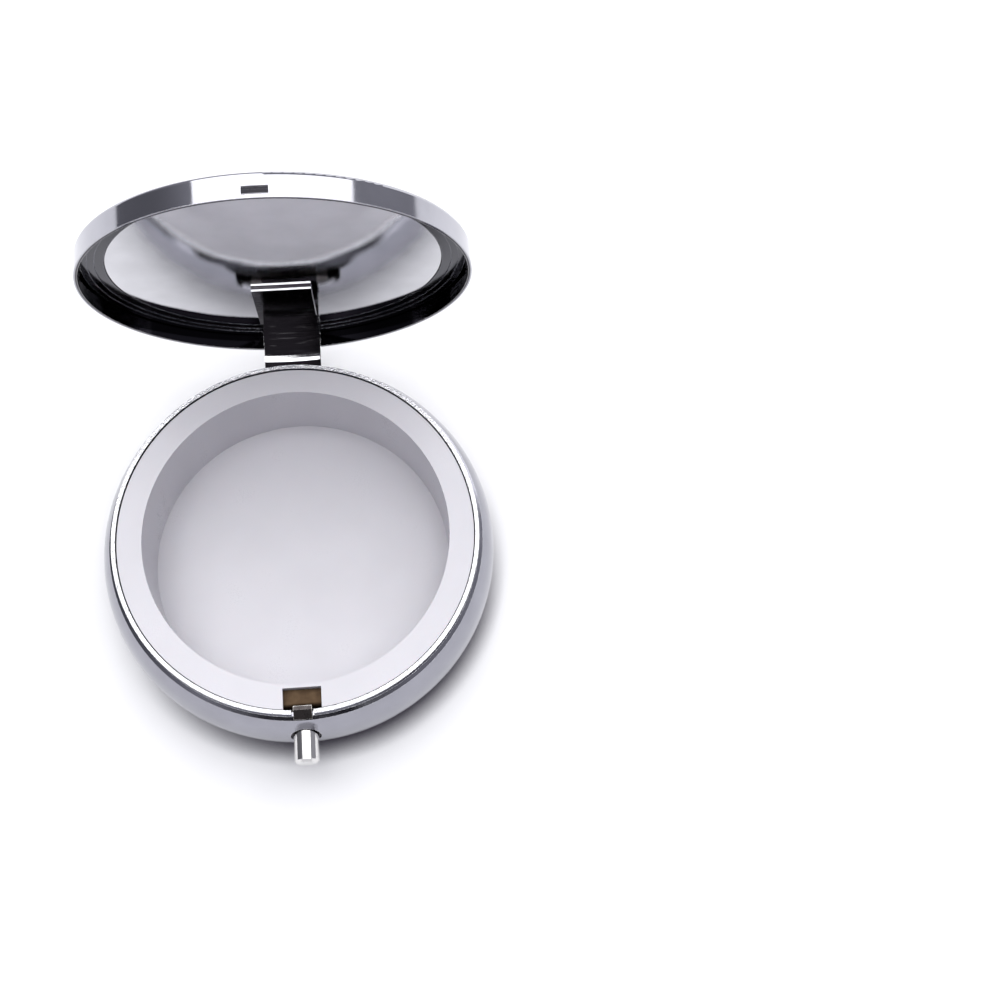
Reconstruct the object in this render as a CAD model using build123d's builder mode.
from build123d import *

import os
from math import asin, degrees

# Round push-button pill box with a mirrored lid that carries a medal.
#
# Millimetres. The origin is the centre of the flat underside, +Z is up, +Y points to the hinge
# and -Y to the push button. The box is drawn with its lid open against the hinge stop.

# Base shell
SHEET = 0.5
COLLAR_R = 23.45
COLLAR_TOP = 14.2
FOOT_R = 20.5
BULGE_R = 25.5
BULGE_Z = 7.0
SHOULDER_R = 23.95
SHOULDER_Z = 12.6
SHOULDER_RISE = 0.2
FOOT_SHIFT = 0.2
SHOULDER_SHIFT = 0.6

# White tray
POCKET_R = 19.66
POCKET_FLOOR = 1.6
TRAY_WALL = 0.8
TRAY_OUTER_R = POCKET_R + TRAY_WALL
FLANGE_R = 22.8
FLANGE_TOP = 13.9
LIP_ROUNDING = 0.7
TRAY_ROUNDING = 1.2
POCKET_ROUNDING = 0.4
FLANGE_ROUNDING = 0.2
TRAY_NOTCH_WIDTH = 4.8
TRAY_NOTCH_Y = POCKET_R + 0.35
TRAY_SEAT_WIDTH = 5.6
TRAY_SEAT_LOW_Z = 5.0

# Lid, in its closed place
LID_R = 24.15
LID_SHEET = 0.45
LID_EDGE_Z = 13.0
LID_TOP_Z = 16.2
LID_ROUNDING = 0.55
GROOVE_R = 22.65
GROOVE_Z = 16.0
BEAD_Z = 16.45
BEAD_SLOPE = 0.3
BEAD_ROUNDING = 0.3
RECESS_R = 21.2
RECESS_Z = 15.95
RECESS_SLOPE = 0.25
MIRROR_R = 20.5
MIRROR_Z = 15.3
MIRROR_THICKNESS = 0.2
BEZEL_SHEET = 0.24
BEZEL_STEP = 0.12
BEZEL_DROP = 0.06
BEZEL_RADII = (20.6, 21.75, 22.6, 23.4)
LID_OPEN = 85.6

# Medal, in its closed place
MEDAL_R = 21.05
GLUE = 0.1
MEDAL_Z = RECESS_Z + GLUE
MEDAL_BASE_Z = 16.4
MEDAL_RIM_Z = 17.05
MEDAL_RIM_R = 19.8
MEDAL_CHAMFER = 0.2
FRAME_R = 15.9
FRAME_LINE = 0.4
FRAME_Z = 16.85
BAND_OUTER_R = 15.3
BAND_INNER_R = 14.1
LOBE_Y = 11.4
LOBE_R = 7.5
PANEL_Y = -10.6
PANEL_R = 8.9
ENAMEL = 0.2

# Hinge
PIVOT_Y = 23.5
PIVOT_Z = 7.8
PIN_R = 0.45
PIN_PLAY = 0.05
PIN_CHAMFER = 0.1
KNUCKLE_R = 0.85
KNUCKLE_GAP = 0.12
KNUCKLE_CUT = 2.55
STRAP_WIDTH = 7.6
STRAP_GAP = 0.05
LEG_SWELL = 0.12
LEG_SWELL_Z = 10.9
LEG_RAMP = 0.6
STRAP_THICKNESS = 0.5
STRAP_R = 24.05
STRAP_END_Y = 7.0
STRAP_SLOT = 8.0
BRACKET_WIDTH = 10.4
BRACKET_Y = 22.0
BRACKET_LOW_Z = 1.0
PIN_END = 0.15
WINDOW_WIDTH = 14.2
WINDOW_LOW_Z = 9.2
WINDOW_TOP_Z = 12.3
WINDOW_ROUNDING = 0.8
STOP_Z = 6.92
SPRING_WIDTH = 5.0
LIFT_SHEET = 0.2
LIFT_LOW_Z = 4.0
LIFT_BOW_Y = 23.15
LIFT_BOW_Z = 10.4
LIFT_TOP_Z = 11.8
LIFT_BEND = 0.6
STRAP_BEND = 0.4

# Latch
BUTTON_R = 1.6
BUTTON_Z = 9.1
BUTTON_TIP_Y = 28.7
BUTTON_HOLE_R = 1.95
BUTTON_CHAMFER = 0.35
BUTTON_SHOULDER_R = 2.3
SHOULDER_GAP = 0.03
GUIDE_PLAY = 0.06
GUIDE_Y = 24.0
GUIDE_WIDTH = 7.0
GUIDE_HEIGHT = 5.0
HOOK_Y = 22.85
HOOK_SHEET = 0.5
HOOK_WIDTH = 2.3
HOOK_PLATE_WIDTH = 5.0
HOOK_PLATE_TOP = 11.6
HOOK_LOW_Z = 5.8
HOOK_NOSE_Y = 24.0
HOOK_NOSE_LOW_Z = 13.45
HOOK_NOSE_LIP = 0.15
HOOK_TOP_Z = 14.05
COLLAR_NOTCH_WIDTH = 2.8
COLLAR_NOTCH_Z = 13.1
CATCH_WIDTH = 3.0
CATCH_LOW_Z = 13.4
CATCH_HIGH_Z = 14.45
STEM_R = 0.8
STEM_HEAD_R = 1.3
STEM_HEAD = 0.4
STEM_CHAMFER = 0.15
LATCH_LEAF = 0.25
LATCH_LEAF_PLAY = 0.15
LATCH_LEAF_GAP = 0.05
LATCH_LEAF_TOP = 12.9
LATCH_LEAF_LOW_Z = 5.2
LATCH_LEAF_WIDTH = 5.4
LATCH_LEAF_BEND = 0.6

TO_PIVOT = Location((0, PIVOT_Y, PIVOT_Z))
SWING = TO_PIVOT * Location((0, 0, 0), (-LID_OPEN, 0, 0)) * TO_PIVOT.inverse()

os.makedirs("parts", exist_ok=True)


def on_lid(plane):
    """A plane given for the closed lid, swung to where the open lid carries it."""
    return Plane(SWING * plane.location)


def lid_level(z):
    """A level of the closed lid, swung with it."""
    return on_lid(Plane.XY.offset(z))


LID_SECTION = on_lid(Plane.XZ)
LID_SIDE = on_lid(Plane.YZ)
LID_AXIS = Axis(LID_SECTION.origin, LID_SECTION.y_dir)


def bowl(inset):
    """Half section of the bulging bowl, this far inside its outer skin.

    The foot and the shoulder slope, so their corners move in by a share of the inset."""
    foot = (FOOT_R - FOOT_SHIFT * inset, inset)
    bulge = (BULGE_R - inset, BULGE_Z)
    shoulder = (SHOULDER_R - SHOULDER_SHIFT * inset, SHOULDER_Z - inset)
    collar = (COLLAR_R - inset, SHOULDER_Z - inset + SHOULDER_RISE)
    Line((0, inset), foot)
    TangentArc(bulge, foot, tangent=(0, -1))
    TangentArc(bulge, shoulder, tangent=(0, 1))
    Polyline(shoulder, collar, (COLLAR_R - inset, COLLAR_TOP), (0, COLLAR_TOP), (0, inset))


def frame_outline(growth, mode):
    """Outline of the medal's inner frame: a circle with a lobe above and a panel below."""
    Circle(FRAME_R + growth, mode=mode)
    with Locations((0, LOBE_Y)):
        Circle(LOBE_R + growth, mode=mode)
    with Locations((0, PANEL_Y)):
        Circle(PANEL_R + growth, mode=mode)


# Base shell: a stamped bowl with an upright collar, a T-shaped hinge window behind, and a
# button hole and a hook notch in front.
with BuildPart() as base_shell:
    with BuildSketch(Plane.XZ):
        with BuildLine():
            bowl(0)
        make_face()
    revolve(axis=Axis.Z)
    with BuildSketch(Plane.XZ):
        with BuildLine():
            bowl(SHEET)
        make_face()
    revolve(axis=Axis.Z, mode=Mode.SUBTRACT)
    with BuildSketch(Plane.XZ):
        with Locations((0, (WINDOW_LOW_Z + WINDOW_TOP_Z) / 2)):
            RectangleRounded(WINDOW_WIDTH, WINDOW_TOP_Z - WINDOW_LOW_Z, WINDOW_ROUNDING)
        with Locations((0, (STOP_Z + WINDOW_TOP_Z) / 2)):
            Rectangle(STRAP_SLOT, WINDOW_TOP_Z - STOP_Z)
    extrude(amount=-BULGE_R, mode=Mode.SUBTRACT)
    with BuildSketch(Plane.XY.offset(WINDOW_TOP_Z)):
        with Locations((0, BULGE_R)):
            Rectangle(STRAP_SLOT, BULGE_R)
        Circle(COLLAR_R, mode=Mode.SUBTRACT)
    extrude(amount=LID_EDGE_Z - WINDOW_TOP_Z, mode=Mode.SUBTRACT)
    with BuildSketch(Plane.XZ):
        with Locations((0, BUTTON_Z)):
            Circle(BUTTON_HOLE_R)
        with Locations((0, COLLAR_TOP)):
            Rectangle(COLLAR_NOTCH_WIDTH, 2 * (COLLAR_TOP - COLLAR_NOTCH_Z))
    extrude(amount=BULGE_R, mode=Mode.SUBTRACT)

# Tray: moulded pocket whose flange lies just inside the collar, notched over the latch.
with BuildPart() as liner_tray:
    with BuildSketch(Plane.XZ) as tray_profile:
        with BuildLine():
            Polyline(
                (0, SHEET),
                (TRAY_OUTER_R, SHEET),
                (TRAY_OUTER_R, FLANGE_TOP - TRAY_WALL),
                (FLANGE_R, FLANGE_TOP - TRAY_WALL),
                (FLANGE_R, FLANGE_TOP),
                (POCKET_R, FLANGE_TOP),
                (POCKET_R, POCKET_FLOOR),
                (0, POCKET_FLOOR),
                close=True,
            )
        make_face()
        corners = tray_profile.vertices()
        fillet(corners.sort_by_distance((TRAY_OUTER_R, SHEET))[0], TRAY_ROUNDING)
        fillet(corners.sort_by_distance((POCKET_R, FLANGE_TOP))[0], LIP_ROUNDING)
        fillet(corners.sort_by_distance((POCKET_R, POCKET_FLOOR))[0], POCKET_ROUNDING)
        fillet(corners.sort_by_distance((FLANGE_R, FLANGE_TOP))[0], FLANGE_ROUNDING)
    revolve(axis=Axis.Z)
    with BuildSketch(Plane.XY.offset(FLANGE_TOP)):
        with Locations((0, -(TRAY_NOTCH_Y + BULGE_R) / 2)):
            Rectangle(TRAY_NOTCH_WIDTH, BULGE_R - TRAY_NOTCH_Y)
    extrude(amount=-2 * TRAY_WALL, mode=Mode.SUBTRACT)
    with BuildSketch(Plane.XY.offset(FLANGE_TOP - TRAY_WALL)):
        with Locations((0, -(TRAY_NOTCH_Y + BULGE_R) / 2)):
            Rectangle(TRAY_SEAT_WIDTH, BULGE_R - TRAY_NOTCH_Y)
    extrude(amount=TRAY_SEAT_LOW_Z - FLANGE_TOP + TRAY_WALL, mode=Mode.SUBTRACT)

# Hinge bracket: plate soldered to the lower side of the bowl, with a knuckle at each end.
with BuildPart() as hinge_bracket:
    with BuildSketch(Plane.YZ):
        with Locations((BRACKET_Y + SHEET / 2, (BRACKET_LOW_Z + PIVOT_Z) / 2)):
            Rectangle(SHEET, PIVOT_Z - BRACKET_LOW_Z)
    extrude(amount=BRACKET_WIDTH / 2, both=True)
    with BuildSketch(Plane.YZ):
        with Locations((PIVOT_Y, PIVOT_Z)):
            Circle(KNUCKLE_R)
        with Locations(((BRACKET_Y + PIVOT_Y) / 2, PIVOT_Z - SHEET / 2)):
            Rectangle(PIVOT_Y - BRACKET_Y, SHEET)
    extrude(amount=BRACKET_WIDTH / 2, both=True)
    with BuildSketch(Plane.YZ):
        with Locations((PIVOT_Y, PIVOT_Z)):
            Rectangle(2 * (PIVOT_Y - BRACKET_Y - SHEET), KNUCKLE_CUT)
    extrude(amount=STRAP_WIDTH / 2 + KNUCKLE_GAP, both=True, mode=Mode.SUBTRACT)
    with BuildSketch(Plane.YZ):
        with Locations((PIVOT_Y, PIVOT_Z)):
            Circle(PIN_R)
    extrude(amount=BULGE_R, both=True, mode=Mode.SUBTRACT)
    with BuildSketch(Plane.XZ):
        with BuildLine():
            bowl(SHEET)
        make_face()
    revolve(axis=Axis.Z, mode=Mode.INTERSECT)

with BuildPart() as hinge_pin:
    with BuildSketch(Plane.YZ):
        with Locations((PIVOT_Y, PIVOT_Z)):
            Circle(PIN_R)
    extrude(amount=BRACKET_WIDTH / 2 + PIN_END, both=True)
    chamfer(hinge_pin.edges().filter_by(GeomType.CIRCLE), PIN_CHAMFER)

# Lift spring: leaf clipped on the bracket, bowed out to push the closed strap open.
with BuildPart() as lift_spring:
    with BuildSketch(Plane.YZ):
        with BuildLine():
            leaf = FilletPolyline(
                (BRACKET_Y, LIFT_LOW_Z),
                (BRACKET_Y, PIVOT_Z + KNUCKLE_R),
                (LIFT_BOW_Y, LIFT_BOW_Z),
                (BRACKET_Y + SHEET, LIFT_TOP_Z),
                radius=LIFT_BEND,
            )
            offset(leaf, amount=LIFT_SHEET, side=Side.LEFT)
        make_face()
    extrude(amount=SPRING_WIDTH / 2, both=True)

# Lid shell: skirt, rounded shoulder, groove, bead, and a sunk panel for the medal.
with BuildPart() as lid_shell:
    with BuildSketch(LID_SECTION) as lid_profile:
        with BuildLine():
            skin = Polyline(
                (LID_R, LID_EDGE_Z),
                (LID_R, LID_TOP_Z),
                (GROOVE_R + BEAD_SLOPE, LID_TOP_Z),
                (GROOVE_R, GROOVE_Z),
                (GROOVE_R - BEAD_SLOPE, BEAD_Z),
                (RECESS_R + RECESS_SLOPE, BEAD_Z),
                (RECESS_R, RECESS_Z),
                (0, RECESS_Z),
            )
            offset(skin, amount=LID_SHEET, side=Side.LEFT)
        make_face()
        corners = lid_profile.vertices()
        fillet(corners.sort_by_distance((LID_R, LID_TOP_Z))[0], LID_ROUNDING)
        for bead_r in (GROOVE_R - BEAD_SLOPE, RECESS_R + RECESS_SLOPE):
            fillet(corners.sort_by_distance((bead_r, BEAD_Z))[0], BEAD_ROUNDING)
    revolve(axis=LID_AXIS)
    with BuildSketch(lid_level(LID_EDGE_Z)):
        with Locations((0, LID_R)):
            Rectangle(STRAP_WIDTH + 2 * STRAP_GAP, 2 * (LID_R - BEZEL_RADII[-1]))
    extrude(amount=MIRROR_Z + GLUE - LID_EDGE_Z, mode=Mode.SUBTRACT)
    with BuildSketch(LID_SECTION):
        with Locations((0, (CATCH_LOW_Z + CATCH_HIGH_Z) / 2)):
            Rectangle(CATCH_WIDTH, CATCH_HIGH_Z - CATCH_LOW_Z)
    extrude(amount=BULGE_R, mode=Mode.SUBTRACT)

with BuildPart() as mirror_plate:
    with BuildSketch(lid_level(MIRROR_Z)):
        Circle(MIRROR_R)
    extrude(amount=MIRROR_THICKNESS)

# Bezel: stamped ring that steps out from the mirror to the skirt, open where the strap passes.
with BuildPart() as mirror_bezel:
    with BuildSketch(LID_SECTION):
        with BuildLine():
            steps = []
            for step, radius in enumerate(BEZEL_RADII):
                level = MIRROR_Z - BEZEL_DROP - BEZEL_STEP * max(step - 1, 0)
                steps.append((radius, level))
                if 0 < step < len(BEZEL_RADII) - 1:
                    steps.append((radius, level - BEZEL_STEP))
            back = [(radius, level + BEZEL_SHEET) for radius, level in reversed(steps)]
            Polyline(*steps, *back, close=True)
        make_face()
    revolve(axis=LID_AXIS)
    with BuildSketch(lid_level(MIRROR_Z + BEZEL_SHEET)):
        with Locations((0, STRAP_R)):
            Rectangle(STRAP_WIDTH + 2 * STRAP_GAP, STRAP_R)
    extrude(amount=-MIRROR_Z, mode=Mode.SUBTRACT)

# Strap: leg with the middle knuckle, swollen above it, bent over to lie along the mirror.
with BuildPart() as hinge_strap:
    with BuildSketch(lid_level(MIRROR_Z)):
        Circle(STRAP_R)
        with Locations((0, STRAP_END_Y + STRAP_R)):
            Rectangle(STRAP_WIDTH, 2 * STRAP_R, mode=Mode.INTERSECT)
    extrude(amount=-STRAP_THICKNESS)
    with BuildSketch(lid_level(MIRROR_Z)):
        Circle(STRAP_R)
        Circle(STRAP_R - STRAP_THICKNESS, mode=Mode.SUBTRACT)
        with Locations((0, STRAP_R)):
            Rectangle(STRAP_WIDTH, STRAP_R, mode=Mode.INTERSECT)
    extrude(amount=PIVOT_Z - MIRROR_Z)
    bend = hinge_strap.edges().filter_by(GeomType.CIRCLE)
    fillet(bend.sort_by(LID_AXIS)[-1], STRAP_BEND)
    with BuildSketch(LID_SIDE) as swell:
        with BuildLine():
            inner = STRAP_R - STRAP_THICKNESS
            Polyline(
                (inner + LEG_SWELL, PIVOT_Z),
                (inner - LEG_SWELL, PIVOT_Z),
                (inner - LEG_SWELL, LEG_SWELL_Z),
                (inner + LEG_SWELL, LEG_SWELL_Z + 2 * LEG_RAMP),
                close=True,
            )
        make_face()
    half_arc = degrees(asin(STRAP_WIDTH / 2 / STRAP_R))
    for arc in (half_arc, -half_arc):
        revolve(swell.sketch, axis=LID_AXIS, revolution_arc=arc)
    with BuildSketch(LID_SIDE):
        with Locations((PIVOT_Y, PIVOT_Z)):
            Circle(KNUCKLE_R)
    extrude(amount=STRAP_WIDTH / 2, both=True)
    with BuildSketch(LID_SIDE):
        with Locations((PIVOT_Y, PIVOT_Z)):
            Circle(PIN_R + PIN_PLAY)
    extrude(amount=STRAP_WIDTH, both=True, mode=Mode.SUBTRACT)

with BuildPart() as medal_glue:
    with BuildSketch(lid_level(RECESS_Z)):
        Circle(MIRROR_R)
    extrude(amount=GLUE)

# The medal's broad inner band, open where the lobe and the panel cross it.
with BuildSketch() as band_sketch:
    Circle(BAND_OUTER_R)
    Circle(BAND_INNER_R, mode=Mode.SUBTRACT)
    with Locations((0, LOBE_Y)):
        Circle(LOBE_R + FRAME_LINE, mode=Mode.SUBTRACT)
    with Locations((0, PANEL_Y)):
        Circle(PANEL_R + FRAME_LINE, mode=Mode.SUBTRACT)

# Medal: cast disc with a raised rim, the frame's line and its broad band.
with BuildPart() as medal_disc:
    with BuildSketch(LID_SECTION):
        with BuildLine():
            Polyline(
                (0, MEDAL_Z),
                (MEDAL_R, MEDAL_Z),
                (MEDAL_R, MEDAL_RIM_Z - MEDAL_CHAMFER),
                (MEDAL_R - MEDAL_CHAMFER, MEDAL_RIM_Z),
                (MEDAL_RIM_R, MEDAL_RIM_Z),
                (MEDAL_RIM_R, MEDAL_BASE_Z),
                (0, MEDAL_BASE_Z),
                close=True,
            )
        make_face()
    revolve(axis=LID_AXIS)
    with BuildSketch(lid_level(MEDAL_BASE_Z)):
        frame_outline(0, Mode.ADD)
        frame_outline(-FRAME_LINE, Mode.SUBTRACT)
    extrude(amount=FRAME_Z - MEDAL_BASE_Z)
    with BuildSketch(lid_level(MEDAL_BASE_Z)):
        add(band_sketch.sketch_local)
    extrude(amount=FRAME_Z - MEDAL_BASE_Z)

with BuildPart() as enamel_band:
    with BuildSketch(lid_level(MEDAL_BASE_Z)):
        Circle(MEDAL_RIM_R)
        frame_outline(0, Mode.SUBTRACT)
    extrude(amount=ENAMEL)

with BuildPart() as enamel_field:
    with BuildSketch(lid_level(MEDAL_BASE_Z)):
        frame_outline(-FRAME_LINE, Mode.ADD)
        add(band_sketch.sketch_local, mode=Mode.SUBTRACT)
    extrude(amount=ENAMEL)

# Latch guide: plate behind the front wall that carries the button.
with BuildPart() as latch_guide:
    with BuildSketch(Plane.XZ.offset(GUIDE_Y)):
        with Locations((0, BUTTON_Z)):
            Rectangle(GUIDE_WIDTH, GUIDE_HEIGHT)
            Circle(BUTTON_R + GUIDE_PLAY, mode=Mode.SUBTRACT)
    extrude(amount=BULGE_R - GUIDE_Y)
    with BuildSketch(Plane.XZ):
        with BuildLine():
            bowl(SHEET)
        make_face()
    revolve(axis=Axis.Z, mode=Mode.INTERSECT)

# Button: plunger with a chamfered tip, a shoulder inside the guide, and a riveted stem.
with BuildPart() as push_button:
    with BuildSketch(Plane.XZ.offset(GUIDE_Y - SHOULDER_GAP)):
        with Locations((0, BUTTON_Z)):
            Circle(BUTTON_R)
    extrude(amount=BUTTON_TIP_Y - GUIDE_Y + SHOULDER_GAP)
    chamfer(push_button.edges().filter_by(GeomType.CIRCLE).sort_by(Axis.Y)[0], BUTTON_CHAMFER)
    with BuildSketch(Plane.XZ.offset(GUIDE_Y - SHOULDER_GAP)):
        with Locations((0, BUTTON_Z)):
            Circle(BUTTON_SHOULDER_R)
    extrude(amount=HOOK_Y - GUIDE_Y + SHOULDER_GAP)
    with BuildSketch(Plane.XZ.offset(HOOK_Y)):
        with Locations((0, BUTTON_Z)):
            Circle(STEM_R)
    extrude(amount=-HOOK_SHEET - LATCH_LEAF)
    with BuildSketch(Plane.XZ.offset(HOOK_Y - HOOK_SHEET - LATCH_LEAF)):
        with Locations((0, BUTTON_Z)):
            Circle(STEM_HEAD_R)
    extrude(amount=-STEM_HEAD)
    chamfer(push_button.edges().filter_by(GeomType.CIRCLE).sort_by(Axis.Y)[-1], STEM_CHAMFER)

# Hook: plate carried by the button, with a sloped nose that catches the lid's window.
with BuildPart() as latch_hook:
    with BuildSketch(Plane.XZ.offset(HOOK_Y)):
        with Locations((0, (HOOK_LOW_Z + HOOK_PLATE_TOP) / 2)):
            Rectangle(HOOK_PLATE_WIDTH, HOOK_PLATE_TOP - HOOK_LOW_Z)
        with Locations((0, (HOOK_LOW_Z + HOOK_TOP_Z) / 2)):
            Rectangle(HOOK_WIDTH, HOOK_TOP_Z - HOOK_LOW_Z)
        with Locations((0, BUTTON_Z)):
            Circle(STEM_R, mode=Mode.SUBTRACT)
    extrude(amount=-HOOK_SHEET)
    with BuildSketch(Plane.YZ):
        with BuildLine():
            Polyline(
                (-HOOK_Y, HOOK_NOSE_LOW_Z),
                (-HOOK_NOSE_Y, HOOK_NOSE_LOW_Z),
                (-HOOK_NOSE_Y, HOOK_NOSE_LOW_Z + HOOK_NOSE_LIP),
                (-HOOK_Y, HOOK_TOP_Z),
                close=True,
            )
        make_face()
    extrude(amount=HOOK_WIDTH / 2, both=True)

# Latch spring: brass leaf folded over between the tray and the hook.
with BuildPart() as latch_spring:
    with BuildSketch(Plane.YZ) as fold:
        with BuildLine():
            front = HOOK_SHEET - HOOK_Y
            back = -TRAY_NOTCH_Y - LATCH_LEAF_GAP
            leaf = Polyline(
                (front, LATCH_LEAF_LOW_Z),
                (front, LATCH_LEAF_TOP),
                (back, LATCH_LEAF_TOP),
                (back, LATCH_LEAF_LOW_Z),
            )
            offset(leaf, amount=LATCH_LEAF, side=Side.RIGHT, kind=Kind.INTERSECTION)
        make_face()
        corners = fold.vertices()
        for y in (front, back):
            fillet(corners.sort_by_distance((y, LATCH_LEAF_TOP))[0], LATCH_LEAF_BEND)
    extrude(amount=LATCH_LEAF_WIDTH / 2, both=True)
    with BuildSketch(Plane.XZ.offset(HOOK_Y)):
        with Locations((0, BUTTON_Z)):
            Circle(STEM_R + LATCH_LEAF_PLAY)
    extrude(amount=-HOOK_SHEET - LATCH_LEAF, mode=Mode.SUBTRACT)


PIECES = {
    "base_shell": base_shell,
    "liner_tray": liner_tray,
    "hinge_bracket": hinge_bracket,
    "hinge_pin": hinge_pin,
    "lift_spring": lift_spring,
    "latch_guide": latch_guide,
    "latch_spring": latch_spring,
    "push_button": push_button,
    "latch_hook": latch_hook,
    "lid_shell": lid_shell,
    "mirror_plate": mirror_plate,
    "mirror_bezel": mirror_bezel,
    "hinge_strap": hinge_strap,
    "medal_glue": medal_glue,
    "medal_disc": medal_disc,
    "enamel_band": enamel_band,
    "enamel_field": enamel_field,
}

for label, piece in PIECES.items():
    piece.part.label = label
    export_step(piece.part, f"parts/{label}.step")
